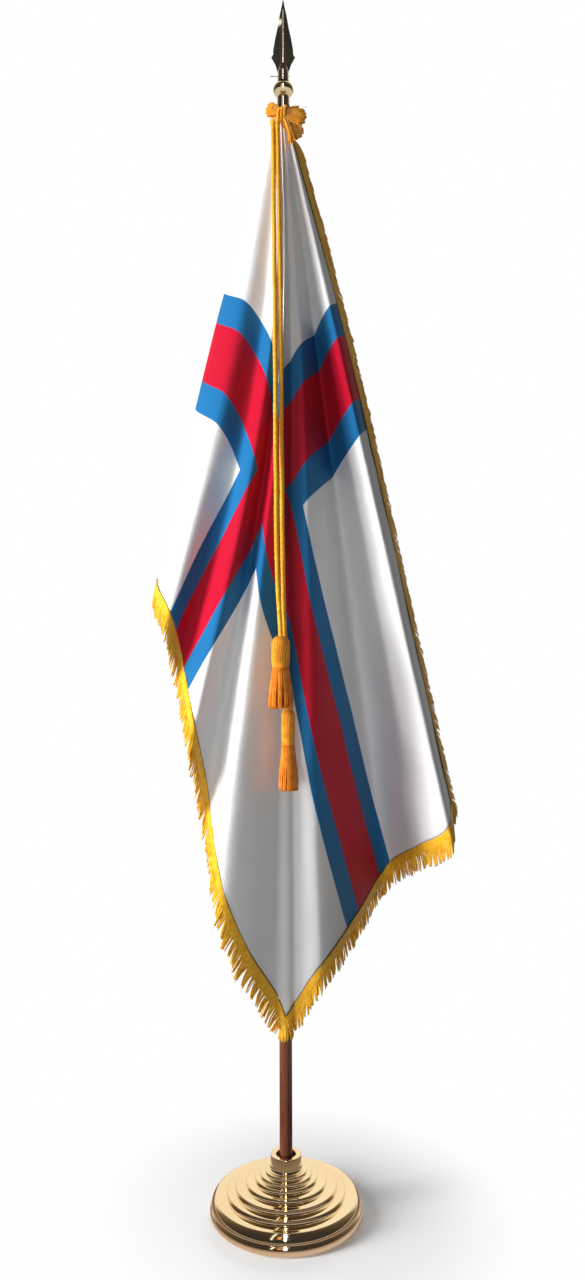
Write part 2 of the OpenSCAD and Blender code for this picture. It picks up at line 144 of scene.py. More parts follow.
def spline(points, steps):
    """Points of a smooth curve through a route."""
    p = [Vector(q) for q in points]
    out = []
    for i in range(len(p) - 1):
        a, b, c, d = p[max(0, i - 1)], p[i], p[i + 1], p[min(len(p) - 1, i + 2)]
        for s in range(steps):
            t = s / steps
            out.append(0.5 * (2 * b + (c - a) * t + (2 * a - 5 * b + 4 * c - d) * t * t
                              + (3 * b - a - 3 * c + d) * t ** 3))
    return out + [p[-1]]


# ---------------------------------------------------------------- materials

class Nodes:
    """A material's node tree, built one node at a time."""

    def __init__(self, name):
        self.material = bpy.data.materials.new(name)
        self.material.use_nodes = True
        self.tree = self.material.node_tree
        self.shader = self.tree.nodes["Principled BSDF"]

    def node(self, kind, settings=None, **inputs):
        n = self.tree.nodes.new("ShaderNode" + kind)
        for key, value in (settings or {}).items():
            setattr(n, key, value)
        for key, value in inputs.items():
            numbered = key[0] == "i" and key[1:].isdigit()
            socket = n.inputs[int(key[1:])] if numbered else n.inputs[key]
            self.put(socket, value)
        return n

    def put(self, socket, value):
        if isinstance(value, bpy.types.NodeSocket):
            self.tree.links.new(value, socket)
        else:
            socket.default_value = value

    def math(self, operation, a, b=0.0, c=0.0):
        return self.node("Math", {"operation": operation}, i0=a, i1=b, i2=c).outputs[0]

    def ramp(self, factor, stops):
        n = self.node("ValToRGB", i0=factor)
        elements = n.color_ramp.elements
        while len(elements) < len(stops):
            elements.new(1.0)
        for element, (at, color) in zip(elements, stops):
            element.position = at
            element.color = (*color, 1)
        return n.outputs[0]

    def tinted(self, color, tint):
        """One colour multiplied by another."""
        settings = {"data_type": "RGBA", "blend_type": "MULTIPLY"}
        return self.node("Mix", settings, i0=1.0, i6=color, i7=tint).outputs[2]

    def object_point(self):
        return self.node("TexCoord").outputs["Object"]

    def stretched(self, scale):
        return self.node("Mapping", Vector=self.object_point(), Scale=scale).outputs[0]

    def noise(self, scale, vector=None, detail=3.0, roughness=0.5):
        return self.node("TexNoise", Vector=vector or self.object_point(), Scale=scale,
                         Detail=detail, Roughness=roughness).outputs["Fac"]

    def bump(self, height, distance, strength=1.0, normal=None):
        n = self.node("Bump", Height=height, Distance=distance, Strength=strength)
        if normal:
            self.put(n.inputs["Normal"], normal)
        return n.outputs[0]

    def finish(self, **inputs):
        for key, value in inputs.items():
            self.put(self.shader.inputs[key.replace("_", " ")], value)
        return self.material


def brass(name, light, dark, rough, spots):
    """Polished brass: the colour drifts between two tones, with fine buffing and faint dull spots."""
    m = Nodes(name)
    drift = m.noise(6.0, detail=4)
    color = m.ramp(drift, [(0.3, dark), (0.65, light)])
    fine = m.noise(220.0, detail=2)
    rough_map = m.math("MULTIPLY_ADD", m.noise(35.0, detail=5), spots, rough)
    return m.finish(Base_Color=color, Metallic=1.0, Roughness=rough_map,
                    Normal=m.bump(fine, 0.00003, 0.4))


def steel():
    m = Nodes("zinc_steel")
    lines = m.noise(90.0, m.stretched((1, 1, 14)), detail=4)
    color = m.ramp(m.noise(60.0), [(0.35, (0.45, 0.46, 0.48)), (0.7, (0.66, 0.67, 0.69))])
    rough = m.math("MULTIPLY_ADD", lines, 0.25, 0.25)
    return m.finish(Base_Color=color, Metallic=1.0, Roughness=rough, Normal=m.bump(lines, 0.0001, 0.3))


def iron():
    m = Nodes("ballast_iron")
    grit = m.noise(260.0, detail=6, roughness=0.7)
    color = m.ramp(m.noise(25.0), [(0.3, (0.03, 0.03, 0.032)), (0.7, (0.075, 0.072, 0.07))])
    return m.finish(Base_Color=color, Metallic=0.6, Roughness=0.72, Normal=m.bump(grit, 0.0006, 0.7))


def felt():
    m = Nodes("felt")
    fibres = m.noise(900.0, detail=6, roughness=0.8)
    color = m.ramp(m.noise(120.0, detail=5), [(0.3, (0.012, 0.03, 0.014)), (0.75, (0.03, 0.06, 0.03))])
    return m.finish(Base_Color=color, Roughness=0.95, Sheen_Weight=0.4,
                    Normal=m.bump(fibres, 0.0005, 0.8))


def plastic():
    m = Nodes("reducer_plastic")
    color = m.ramp(m.noise(50.0), [(0.3, (0.008, 0.007, 0.006)), (0.7, (0.02, 0.018, 0.015))])
    return m.finish(Base_Color=color, Roughness=0.5, Normal=m.bump(m.noise(600.0), 0.0001, 0.4))


def wood():
    """Stained straight-grained wood under satin varnish."""
    m = Nodes("stained_wood")
    grain = m.noise(28.0, m.stretched((9, 9, 0.35)), detail=8, roughness=0.65)
    pores = m.noise(120.0, m.stretched((12, 12, 0.5)), detail=3)
    color = m.ramp(grain, [(0.28, (0.060, 0.016, 0.008)), (0.5, (0.16, 0.045, 0.02)),
                           (0.72, (0.27, 0.09, 0.04))])
    dark = m.ramp(pores, [(0.30, (0.45, 0.4, 0.4)), (0.42, (1, 1, 1))])
    return m.finish(Base_Color=m.tinted(color, dark), Roughness=m.math("MULTIPLY_ADD", grain, 0.2, 0.26),
                    Coat_Weight=0.5, Coat_Roughness=0.12, Normal=m.bump(pores, 0.0003, 0.35))


def leather():
    m = Nodes("tab_leather")
    cells = m.node("TexVoronoi", Vector=m.object_point(), Scale=900.0).outputs["Distance"]
    color = m.ramp(m.noise(60.0), [(0.3, (0.08, 0.03, 0.012)), (0.7, (0.17, 0.07, 0.03))])
    return m.finish(Base_Color=color, Roughness=0.55, Normal=m.bump(cells, 0.0003, 0.5))


def canvas():
    m = Nodes("sleeve_canvas")
    warp = m.noise(700.0, m.stretched((1, 1, 0.2)))
    weft = m.noise(700.0, m.stretched((0.2, 0.2, 1)))
    weave = m.math("MULTIPLY", warp, weft)
    color = m.ramp(m.noise(30.0), [(0.3, (0.70, 0.70, 0.68)), (0.7, (0.82, 0.82, 0.80))])
    return m.finish(Base_Color=color, Roughness=0.85, Sheen_Weight=0.2, Normal=m.bump(weave, 0.0003, 0.6))


def thread(name, light, mid, dark, scale=70.0):
    """Rayon thread: bright where it catches the light, deeper in the grooves, with fine filaments."""
    m = Nodes(name)
    tone = m.noise(scale, detail=4, roughness=0.6)
    color = m.ramp(tone, [(0.25, dark), (0.5, mid), (0.75, light)])
    filaments = m.noise(1600.0, detail=2)
    return m.finish(Base_Color=color, Roughness=0.45, Sheen_Weight=0.06, Sheen_Roughness=0.4,
                    Specular_IOR_Level=0.45, Normal=m.bump(filaments, 0.00015, 0.5))


# The cloth's pattern: an off-centre cross with a border, in equal steps across and down the cloth.
# The cross is centred CROSS_AT steps from the hoist and from the top. It is red for one step to each
# side of its centre, then blue for one step.
STEPS_ACROSS = 22
STEPS_DOWN = 16
CROSS_AT = 8
RAMP_STEPS = 4
SEAM_BLUR = 0.0015
THREAD_PITCH = 0.55 * MM
HEM = 12 * MM
RED = (0.54, 0.007, 0.030)
BLUE = (0.014, 0.160, 0.385)
WHITE = (0.88, 0.88, 0.88)
FLY = 1524 * MM
HOIST = 914 * MM


def flag_cloth_material():
    """Woven nylon with a bordered cross, flat seams along the cross and a stitched hem."""
    m = Nodes("flag_nylon")
    flat = m.node("SeparateXYZ", i0=m.node("UVMap", {"uv_map": "Flat"}).outputs[0])
    u, v = flat.outputs[0], flat.outputs[1]

    def steps_off(distance, steps_per_metre):
        steps = m.math("MULTIPLY", distance, steps_per_metre)
        return m.math("ABSOLUTE", m.math("SUBTRACT", steps, CROSS_AT))

    near = m.math("MINIMUM", steps_off(u, STEPS_ACROSS / FLY), steps_off(v, STEPS_DOWN / HOIST))
    share = m.math("MULTIPLY", near, 1 / RAMP_STEPS)
    inner, outer = 1 / RAMP_STEPS, 2 / RAMP_STEPS
    color = m.ramp(share, [
        (0.0, RED), (inner - SEAM_BLUR, RED), (inner + SEAM_BLUR, BLUE),
        (outer - SEAM_BLUR, BLUE), (outer + SEAM_BLUR, WHITE), (1.0, WHITE),
    ])
    drift = m.ramp(m.noise(5.0, detail=5), [(0.25, (0.93, 0.93, 0.94)), (0.75, (1, 1, 1))])
    turn = 2 * math.pi / THREAD_PITCH
    warp = m.math("SINE", m.math("MULTIPLY", u, turn))
    weft = m.math("SINE", m.math("MULTIPLY", v, turn))
    weave = m.math("MULTIPLY", warp, weft)
    seam = m.math("PINGPONG", near, 1.0)
    ridge = m.math("SMOOTH_MIN", seam, 0.06, 0.03)
    top_or_bottom = m.math("MINIMUM", v, m.math("SUBTRACT", HOIST, v))
    edge = m.math("MINIMUM", m.math("SUBTRACT", FLY, u), top_or_bottom)
    hem = m.math("SMOOTH_MIN", m.math("ABSOLUTE", m.math("SUBTRACT", edge, HEM)), 2 * MM, 1 * MM)
    normal = m.bump(weave, 0.00008, 0.35)
    normal = m.bump(ridge, 0.004, 0.5, normal)
    normal = m.bump(hem, 0.35, 0.6, normal)
    return m.finish(Base_Color=m.tinted(color, drift), Roughness=0.6, Sheen_Weight=0.06,
                    Sheen_Roughness=0.35, Specular_IOR_Level=0.25, Normal=normal)


# ---------------------------------------------------------------- camera

EYE = Vector((0.0156, -2.0, 1.146))
LENS = 28.125
SENSOR = 36
ROLL = math.radians(0.15)


def make_camera():
    data = bpy.data.cameras.new("camera")
    data.lens = LENS
    data.sensor_width = SENSOR
    camera = bpy.data.objects.new("camera", data)
    camera.location = EYE
    camera.rotation_euler = (math.radians(90), ROLL, 0)
    scene.collection.objects.link(camera)
    scene.camera = camera


make_camera()


# ---------------------------------------------------------------- cords and tassels

CORD_D = 8.5 * MM
ROPE_R = 0.555 * CORD_D
# Routes from the bow down to the tassel, in millimetres
SHORT_ROUTE = [
    (-20, -33, 2168), (-20, -36, 2140), (-19, -38, 2080), (-19, -40, 2010), (-18, -42, 1940),
    (-18, -45, 1870), (-17, -48, 1800), (-17, -51, 1730), (-16, -54, 1660), (-16, -58, 1590),
    (-16, -62, 1520), (-15, -66, 1450), (-15, -70, 1380), (-14, -75, 1310), (-12, -80, 1245),
    (-9, -85, 1195), (-7, -88, 1156),
]
LONG_ROUTE = [
    (-11, -34, 2168), (-11, -36, 2140), (-10, -38, 2080), (-9, -40, 2010), (-8, -42, 1940),
    (-7, -44, 1870), (-6, -46, 1800), (-6, -48, 1730), (-5, -50, 1660), (-5, -51, 1590),
    (-5, -52, 1520), (-4, -53, 1450), (-4, -54, 1380), (-3, -55, 1310), (-2, -56, 1240),
    (0, -57, 1170), (3, -58, 1110), (6, -58, 1060), (7, -58, 1014),
]
CORD_RUN_IN = 24 * MM


def metres(route):
    return [Vector(p) * MM for p in route]


def make_cord(name, route, node):
    """A three-ply twisted cord that hangs from the bow and runs a little way into its tassel."""
    ends = metres(route)
    ends.append(ends[-1] - UP * CORD_RUN_IN)
    path = spline(ends, 40)
    rope = Tubes()
    rope.add(path, ROPE_R, sides=18, ply=3, pitch=4.4 * CORD_D, depth=0.15)
    cord = rope.piece(name, "upper_staff")
    cord.data.materials.append(CORD_GOLD)
    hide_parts(node)
    return cord, path


CORD_GOLD = thread("cord_gold", (1.0, 0.60, 0.06), (1.0, 0.48, 0.03), (0.92, 0.36, 0.015))
HEAD_GOLD = thread("head_gold", (1.0, 0.46, 0.04), (0.90, 0.36, 0.025), (0.66, 0.22, 0.012))
SKIRT_GOLD = thread("skirt_gold", (0.98, 0.36, 0.03), (0.84, 0.25, 0.014), (0.58, 0.14, 0.008))
short_cord, short_path = make_cord("short_cord_rope", SHORT_ROUTE, "short_cord")
long_cord, long_path = make_cord("long_cord_rope", LONG_ROUTE, "long_cord")


def round_axis(axis, r, angle, z):
    """A point at a radius, angle and height round an upright axis."""
    return Vector((axis.x + r * math.cos(angle), axis.y + r * math.sin(angle), z))


HEAD_THREADS, HEAD_POINTS = 30, 22
HEAD_MARGIN = 0.6 * MM
HEAD_THREAD_R = 1.75 * MM
HEAD_FULL_R = 16 * MM
NECK_RINGS, RING_POINTS = 4, 41
# Layers of the skirt from the outside in: share of its radius, and number of threads
SKIRT_LAYERS = [(1.0, 44), (0.78, 34), (0.52, 22), (0.25, 10)]
SKIRT_POINTS = 15
SKIRT_THREAD_R = 1.75 * MM
SKIRT_ROOT = 0.86
SKIRT_TUCK = 0.9


def tassel(name, body, head_node, skirt_node, seed):
    """A tassel: a corded head with a bound neck, over a full skirt of twisted threads."""
    rng = random.Random(seed)
    head_low, head_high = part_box(head_node)
    skirt_low, skirt_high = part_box(skirt_node)
    axis = (head_low + head_high) / 2
    r = (head_high.x - head_low.x) / 2 - HEAD_MARGIN
    neck_z = head_low.z
    top_z = head_high.z
    height = top_z - neck_z
    hem_r = (skirt_high.x - skirt_low.x) / 2

    head = Tubes()
    for i in range(HEAD_THREADS):
        a = 2 * math.pi * i / HEAD_THREADS
        path = []
        for k in range(HEAD_POINTS):
            t = k / (HEAD_POINTS - 1)
            bulge = r * min(1.0, math.sqrt(max(0.0, 1 - (1 - min(1, t * height / r)) ** 2)))
            waist = 1 - 0.16 * max(0.0, (t - 0.7) / 0.3) ** 1.5
            z = top_z - 1 * MM - t * height
            path.append(round_axis(axis, (bulge - 1.2 * MM) * waist, a + 0.35 * t, z))
        head.add(path, HEAD_THREAD_R * r / HEAD_FULL_R, sides=6, ply=2, pitch=6 * MM, depth=0.25,
                 phase=rng.random())
    for k in range(NECK_RINGS):
        angles = [2 * math.pi * s / (RING_POINTS - 1) for s in range(RING_POINTS)]
        ring = [round_axis(axis, 0.90 * r, b, neck_z + (3 + 2.6 * k) * MM) for b in angles]
        head.add(ring, 1.5 * MM, sides=8, ply=2, pitch=5 * MM, depth=0.25)
    head_piece = head.piece(name + "_head_cord", body)
    head_piece.data.materials.append(HEAD_GOLD)
    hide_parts(head_node)

    skirt = Tubes()
    length = skirt_high.z - skirt_low.z
    for layer, (share, count) in enumerate(SKIRT_LAYERS):
        for i in range(count):
            a = 2 * math.pi * (i + rng.uniform(-0.25, 0.25)) / count
            drop = length * rng.uniform(0.955, 1.0) - 1 * MM
            sway = rng.uniform(-1.2, 1.2) * MM
            path = []
            for k in range(SKIRT_POINTS):
                t = k / (SKIRT_POINTS - 1)
                flare = (hem_r - SKIRT_ROOT * r - 1.8 * MM) * math.sin(t * math.pi / 2) ** 1.3
                wide = share * (SKIRT_ROOT * r + flare)
                if t > SKIRT_TUCK:
                    wide *= 1 - 0.5 * (t - SKIRT_TUCK)
                path.append(round_axis(axis, wide, a + sway * t / hem_r * 4, skirt_high.z - t * drop))
            skirt.add(path, SKIRT_THREAD_R, sides=6, ply=2, pitch=6.5 * MM, depth=0.28,
                      phase=rng.random(), seed=layer)
    skirt_piece = skirt.piece(name + "_skirt_threads", body)
    skirt_piece.data.materials.append(SKIRT_GOLD)
    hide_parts(skirt_node)
    return [head_piece, skirt_piece]


short_tassel = tassel("short_tassel", "short_tassel", "short_tassel_head", "short_tassel_skirt", 3)
long_tassel = tassel("long_tassel", "long_tassel", "long_tassel_head", "long_tassel_skirt", 5)


# ---------------------------------------------------------------- bow

FRONT = Vector((0, -1, 0))
# Lobes: place from the knot, angle in degrees from the right, length, width, thickness, threads
BOW_LOBES = [
    ((-4, 1, 4), 162, 27, 14, 5, 46), ((2, 0, -2), -8, 46, 17, 7, 64), ((2, 4, -9), -42, 50, 14, 5, 44),
    ((-6, 1, -8), 232, 20, 9, 4, 22), ((4, 3, 3), 14, 34, 9, 4, 26),
]
LOBE_POINTS = 25
LOOSE_FIBRES = 110
TAIL_THREADS = 20
WRAP_POINTS = 33


def lobe(tubes, rng, root, angle, length, width, thick, count):
    """One flattened lobe: threads that leave the knot in front, fan out, turn back and return."""
    a = math.radians(angle)
    along = Vector((math.cos(a), 0, math.sin(a)))
    side = along.cross(FRONT)
    for i in range(count):
        across = 2 * (i + rng.uniform(0.1, 0.9)) / count - 1
        reach = length * (1 - 0.16 * across * across) * rng.uniform(0.74, 1.04)
        wave = rng.uniform(-0.05, 0.05)
        path = []
        for k in range(LOBE_POINTS):
            t = k / (LOBE_POINTS - 1)
            out = math.sin(math.pi * t)
            fan = across * width * (0.42 + 0.58 * out ** 0.8) + wave * width * math.sin(3 * math.pi * t)
            forward = thick * math.cos(math.pi * t)
            path.append(root + along * reach * out ** 0.75 + side * fan + FRONT * forward)
        tubes.add(path, 1.25 * MM, sides=6, ply=2, pitch=6 * MM, depth=0.25, phase=rng.random())


def make_bow():
    """The tied bow under the ferrule: five lobes, loose fibres round them, a tail and a wrapped knot."""
    rng = random.Random(21)
    low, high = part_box("bow_knot")
    knot = (low + high) / 2
    loops = Tubes()
    for at, angle, length, width, thick, count in BOW_LOBES:
        lobe(loops, rng, knot + Vector(at) * MM, angle, length * MM, width * MM, thick * MM, count)
    for i in range(LOOSE_FIBRES):
        a = math.radians(rng.choice([rng.uniform(140, 190), rng.uniform(-60, 25)]))
        along = Vector((math.cos(a), 0, math.sin(a)))
        long = rng.uniform(26, 47) if abs(a) < 1.6 else rng.uniform(16, 28)
        bend = Vector((rng.uniform(-7, 7), rng.uniform(-9, 5), rng.uniform(-9, 5)))
        halfway = knot + (along * 0.55 * long + 0.3 * bend) * MM
        path = spline([knot, halfway, knot + (along * long + bend) * MM], 6)
        loops.add(path, 0.4 * MM, sides=5, ply=1, pitch=9 * MM, depth=0.0, phase=rng.random())
    for i in range(TAIL_THREADS):
        off = Vector((rng.uniform(-4, 4), rng.uniform(-4, 2), 0)) * MM
        spread = rng.uniform(-1, 1)
        ends = [(3, -2, -4), (11, -5, -20), (17 + spread, -5, -38),
                (21 + 5 * spread, -4, -52 - 12 * rng.random())]
        path = spline([knot + off + Vector(p) * MM for p in ends], 6)
        loops.add(path, 1.2 * MM, sides=6, ply=2, pitch=6 * MM, depth=0.25, phase=rng.random())
    bow = loops.piece("bow_lobes", "upper_staff")
    bow.data.materials.append(BOW_GOLD)
    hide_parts("bow_loops")
    wrap = Tubes()
    for k, tilt in enumerate([-0.35, 0.0, 0.35]):
        ring = []
        for turn in range(WRAP_POINTS):
            b = 2 * math.pi * turn / (WRAP_POINTS - 1)
            x = (k - 1) * 6.5 + 2 * math.sin(b + tilt)
            ring.append(knot + Vector((x, 9.5 * math.cos(b), 12 * math.sin(b) + 6 * tilt)) * MM)
        wrap.add(ring, 0.45 * CORD_D, sides=14, ply=3, pitch=4.6 * CORD_D, depth=0.24)
    core = wrap.piece("bow_knot_wraps", "upper_staff")
    core.data.materials.append(BOW_GOLD)
    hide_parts("bow_knot")
    return [bow, core]


BOW_GOLD = thread("bow_gold", (1.0, 0.70, 0.24), (1.0, 0.44, 0.03), (0.95, 0.28, 0.010), 40.0)
bow = make_bow()


# ---------------------------------------------------------------- drape

# Each row is one ray of the cloth from the top of the hoist, in degrees: its angle on the flat cloth, its
# angles seen from the front low down and near the top, its angle forward of the pole's plane, and where
# round the pole it begins.
FOLD_RAYS = np.array([
    (0, 0, 0, 0, 120), (7, -7.6, -8.6, -3.4, 145), (15, -14, -17, -4, 180), (24, -13.2, -8.6, 1.4, 215),
    (33, -11.8, -3, -0.6, 235), (41, -9, 0.2, 2.6, 245), (47, -6.9, 1.6, 0.2, 250), (53, -4.5, 2, 2.2, 254),
    (56, -2.5, 2.2, 1.4, 257), (59, 0, 2.8, -0.4, 262), (65, 2.2, 4.8, 0.2, 266), (71, 5.2, 6.6, -3.6, 270),
    (76.5, 8, 8.4, -8, 274), (82, 10.6, 10.2, -3.6, 278), (86.5, 12.6, 12.8, 0.8, 281),
    (90, 13.5, 15.6, -2.4, 284), (102, 17, 19.4, -8, 288), (116, 21, 23.8, -15, 292),
])
# The rays leave a ring of radius APEX_R round the pole at APEX_Z. KEEPOUT is the cylinder round the pole
# that the cloth's front stays outside of.
APEX_Z = 2192 * MM
APEX_R = 19 * MM
KEEPOUT = 18 * MM
KEEPOUT_SLOPE = 3
CORNER = math.degrees(math.atan(FLY / HOIST))
RAY_SCALE, RAY_SCALE_TOP = 1.01, 0.93
TOP_RAYS, BACK_RAYS = 76, 16
GATHER_R = 850 * MM


def fold_slopes(column):
    rays = FOLD_RAYS
    slopes = np.zeros(len(rays))
    for i in range(1, len(rays) - 1):
        before, after = rays[i, column] - rays[i - 1, column], rays[i + 1, column] - rays[i, column]
        if before * after > 0:
            slopes[i] = (before + after) / (rays[i + 1, 0] - rays[i - 1, 0])
    return slopes


SLOPES = {c: fold_slopes(c) for c in (1, 2, 3, 4)}


def fold_value(angle, c):
    """The cubic through one column of FOLD_RAYS."""
    rays, slopes = FOLD_RAYS, SLOPES[c]
    i = np.clip(np.searchsorted(rays[:, 0], angle, side="right") - 1, 0, len(rays) - 2)
    w = rays[i + 1, 0] - rays[i, 0]
    s = np.minimum(1, (angle - rays[i, 0]) / w)
    a, b, p, q = rays[i, c], rays[i + 1, c], slopes[i] * w, slopes[i + 1] * w
    return a + p * s + (3 * (b - a) - 2 * p - q) * s ** 2 + (2 * (a - b) + p + q) * s ** 3


def hang(u, v):
    """Where points of the flat cloth hang. u is along the fly and v down the hoist, in metres."""
    u, v = np.asarray(u, float), np.asarray(v, float)
    angle, r = np.degrees(np.arctan2(u, v)), np.hypot(u, v)
    high = np.exp(-(r / GATHER_R) ** 2)
    side = np.radians(fold_value(angle, 1) * (1 - high) + fold_value(angle, 2) * high)
    ahead = np.radians(fold_value(angle, 3))
    start = np.radians(fold_value(angle, 4))
    topmost = np.clip((angle - TOP_RAYS) / (90 - TOP_RAYS), 0, 1)
    length = r * (RAY_SCALE + (RAY_SCALE_TOP - RAY_SCALE) * topmost)
    x = APEX_R * np.cos(start) + length * np.sin(side) * np.cos(ahead)
    y = APEX_R * np.sin(start) - length * np.sin(ahead)
    z = APEX_Z - length * np.cos(side) * np.cos(ahead)
    reach = np.abs(x)
    before_pole = -np.sqrt(np.maximum(0, KEEPOUT ** 2 - reach ** 2))
    front = np.where(reach < KEEPOUT, before_pole, KEEPOUT_SLOPE * (reach - KEEPOUT))
    y = np.where(angle < BACK_RAYS, y, np.minimum(y, front))
    return np.stack([x, y, z], -1)


def cloth_normal(u, v):
    """Unit normals of the hanging cloth, which face the front where the cloth does."""
    u, v = np.asarray(u, float), np.asarray(v, float)
    e = 0.2 * MM * np.maximum(1, np.hypot(u, v) / 0.1)
    n = np.cross(hang(u + e, v) - hang(u - e, v), hang(u, v + e) - hang(u, v - e))
    return n / np.linalg.norm(n, axis=-1, keepdims=True)


def ripple(u, v):
    """Small wrinkles along the normal."""
    out = np.empty(len(u))
    for i, (a, b) in enumerate(zip(u, v)):
        wide = noise.noise(Vector((a * 5, b * 5, 1.7)))
        small = noise.noise(Vector((a * 17, b * 11, 8.1)))
        out[i] = 2.2 * MM * wide + 0.9 * MM * small
    return out


def make_cloth():
    """The cloth as a fan of rays from near the top of the hoist out to the bottom and fly edges."""
    rays, rings, first = 330, 150, 0.02
    angles = np.concatenate([np.linspace(0.01, CORNER, rays * 2 // 3),
                             np.linspace(CORNER, 89.99, rays // 3 + 1)[1:]])
    sines, cosines = np.sin(np.radians(angles)), np.cos(np.radians(angles))
    reach = np.minimum(HOIST / np.maximum(1e-3, cosines), FLY / np.maximum(1e-3, sines))
    r = first + (reach[:, None] - first) * np.linspace(0, 1, rings)[None, :]
    u = (r * sines[:, None]).ravel()
    v = (r * cosines[:, None]).ravel()
    points = hang(u, v)
    points += cloth_normal(u, v) * ripple(u, v)[:, None]
    cloth = add_mesh("flag_cloth_sheet", points, grid_faces(len(angles), rings), "upper_staff",
                     np.stack([u, v], -1))
    thick = cloth.modifiers.new("thickness", "SOLIDIFY")
    thick.thickness = 0.5 * MM
    thick.offset = 0
    cloth.data.materials.append(flag_cloth_material())
    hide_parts("flag_cloth")
    return cloth


cloth = make_cloth()


# ---------------------------------------------------------------- fringe

# The fringe's whole drop, the part of it that is tape, and where it starts along the top edge
FRINGE = 50 * MM
TAPE = 17 * MM
TOP_START = 62 * MM
STRAND_STEP = 2.9 * MM
STRAND_POINTS = 10


def edge_stations(step):
    """Points in order along the top, fly and bottom edges: u, v, the way out on the flat cloth, edge."""
    turn = max(2, int(0.5 * math.pi * 0.6 * FRINGE / step))
    fan = [math.pi / 2 * (i + 0.5) / turn for i in range(turn)]
    along_top = int((FLY - TOP_START) / step)
    out = [(TOP_START + i * step, 0.0, 0.0, -1.0, "top") for i in range(along_top)]
    out += [(FLY, 0.0, math.sin(a), -math.cos(a), "fly") for a in fan]
    out += [(FLY, i * step, 1.0, 0.0, "fly") for i in range(int(HOIST / step))]
    out += [(FLY, HOIST, math.cos(a), math.sin(a), "bottom") for a in fan]
    return out + [(FLY - i * step, HOIST, 0.0, 1.0, "bottom") for i in range(int((FLY - 0.01) / step))]


def along_edges(stations, across):
    """Hanging points and normals at a distance across the edge, in metres."""
    u, v, du, dv = (np.array([s[k] for s in stations]) for k in range(4))
    return hang(u + du * across, v + dv * across), cloth_normal(u + du * across, v + dv * across)


def ribbon(name, section, step, ribs):
    """A ribbed band that follows the edges. section is (across, height) pairs in millimetres, closed."""
    stations = edge_stations(step)
    rib = ribs * np.cos(np.arange(len(stations)) * math.pi)
    rings = []
    for w, h in section:
        p, n = along_edges(stations, w * MM)
        rings.append(p + n * ((h + np.sign(h) * rib) * MM)[:, None])
    uvs = [(w / 20, i * step) for i in range(len(stations)) for w, h in section]
    faces = grid_faces(len(stations), len(section), True)
    return add_mesh(name, np.stack(rings, 1).reshape(-1, 3), faces, "upper_staff", uvs)


def make_tape():
    """The woven heading that the strands hang from, sewn over the cloth's edge."""
    face = [(-1.5, 0.4), (-0.5, 1.3), (2, 1.6), (5, 1.2), (8, 1.7), (11, 1.2), (14, 1.6), (17, 1.3),
            (18.5, 0.3)]
    tape = ribbon("fringe_tape", face + [(w, -h) for w, h in reversed(face)], 1.5 * MM, 0.2)
    tape.data.materials.append(TAPE_GOLD)
    return tape


def make_painted_shade_cord():
    """A thin dark cord along the tape's inner edge, front and back: painted shade, standing in for the
    shade line where the cloth meets its fringe.
    """
    turn = [2 * math.pi * i / 8 for i in range(8)]
    section = [(-1.9 + 0.9 * math.cos(a), (1.9 if math.cos(a) > 0 else 1.7) * math.sin(a)) for a in turn]
    cord = ribbon("fringe_painted_shade_cord", section, 1.2 * MM, 0.12)
    cord.data.materials.append(PAINTED_SHADE_OLIVE)
    return cord


def make_strands(edge, stations, rng):
    """One edge's twisted strands. They leave the tape square to the edge, fall, and gather in clumps."""
    tubes = Tubes()
    curl = 0.2 if edge == "top" else 0.0
    root, normal = along_edges(stations, TAPE - 2 * MM)
    away = along_edges(stations, TAPE + 6 * MM)[0] - root
    i = 0
    while i < len(stations):
        size = min(rng.randint(3, 7), len(stations) - i)
        middle = Vector(root[i:i + size].mean(axis=0))
        swing, reach = rng.uniform(-0.16, 0.16), rng.uniform(0.86, 1.08)
        for j in range(i, i + size):
            start = Vector(root[j]) + Vector(normal[j]) * rng.uniform(-0.8, 0.8) * MM
            heading = Vector(away[j]).normalized()
            beside = heading.cross(Vector(normal[j]))
            course = (heading + beside * swing - UP * 0.62 - FRONT * curl).normalized()
            length = (FRINGE - TAPE + 3 * MM) * reach * rng.uniform(0.86, 1.05)
            gather = (middle - Vector(root[j])) * rng.uniform(0.3, 0.6)
            lift = Vector(normal[j]) * rng.uniform(-1.5, 1.5) * MM
            path = []
            for k in range(STRAND_POINTS):
                t = k / (STRAND_POINTS - 1)
                path.append(start + (heading * (1 - t) * 0.45 + course * (0.55 + 0.45 * t)) * length * t
                            + gather * t ** 1.4 + lift * math.sin(2.5 * t))
            tubes.add(path, lambda t: 1.5 * MM * (1 - 0.35 * t ** 3), sides=6, ply=2, pitch=7 * MM,
                      depth=0.3, phase=rng.random(), seed=j)
        i += size
    piece = tubes.piece(edge + "_fringe_strands", "upper_staff")
    piece.data.materials.append(FRINGE_GOLD)
    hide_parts(edge + "_fringe")
    return piece


FRINGE_GOLD = thread("fringe_gold", (1.0, 0.64, 0.08), (0.98, 0.52, 0.025), (0.66, 0.27, 0.006), 60.0)
TAPE_GOLD = thread("tape_gold", (1.0, 0.62, 0.06), (0.98, 0.51, 0.025), (0.78, 0.33, 0.010), 120.0)
# Painted shade: the dark olive thread of the cord that stands in for the shade line along the tape's inner
# edge.
PAINTED_SHADE_OLIVE = thread("painted_shade_olive", (0.16, 0.11, 0.02), (0.09, 0.06, 0.012), (0.04, 0.025, 0.006), 120.0)
strand_rng = random.Random(11)
all_stations = edge_stations(STRAND_STEP)
fringe = [make_strands(e, [s for s in all_stations if s[4] == e], strand_rng)
          for e in ("top", "fly", "bottom")]
fringe += [make_tape(), make_painted_shade_cord()]


# ---------------------------------------------------------------- brass, wood and hardware

STEP_RADII = [118, 101, 80, 62, 52, 42]
STEP_HEIGHTS = [42, 52, 62, 70, 78, 85, 91]
TURNED_SEGMENTS = 256


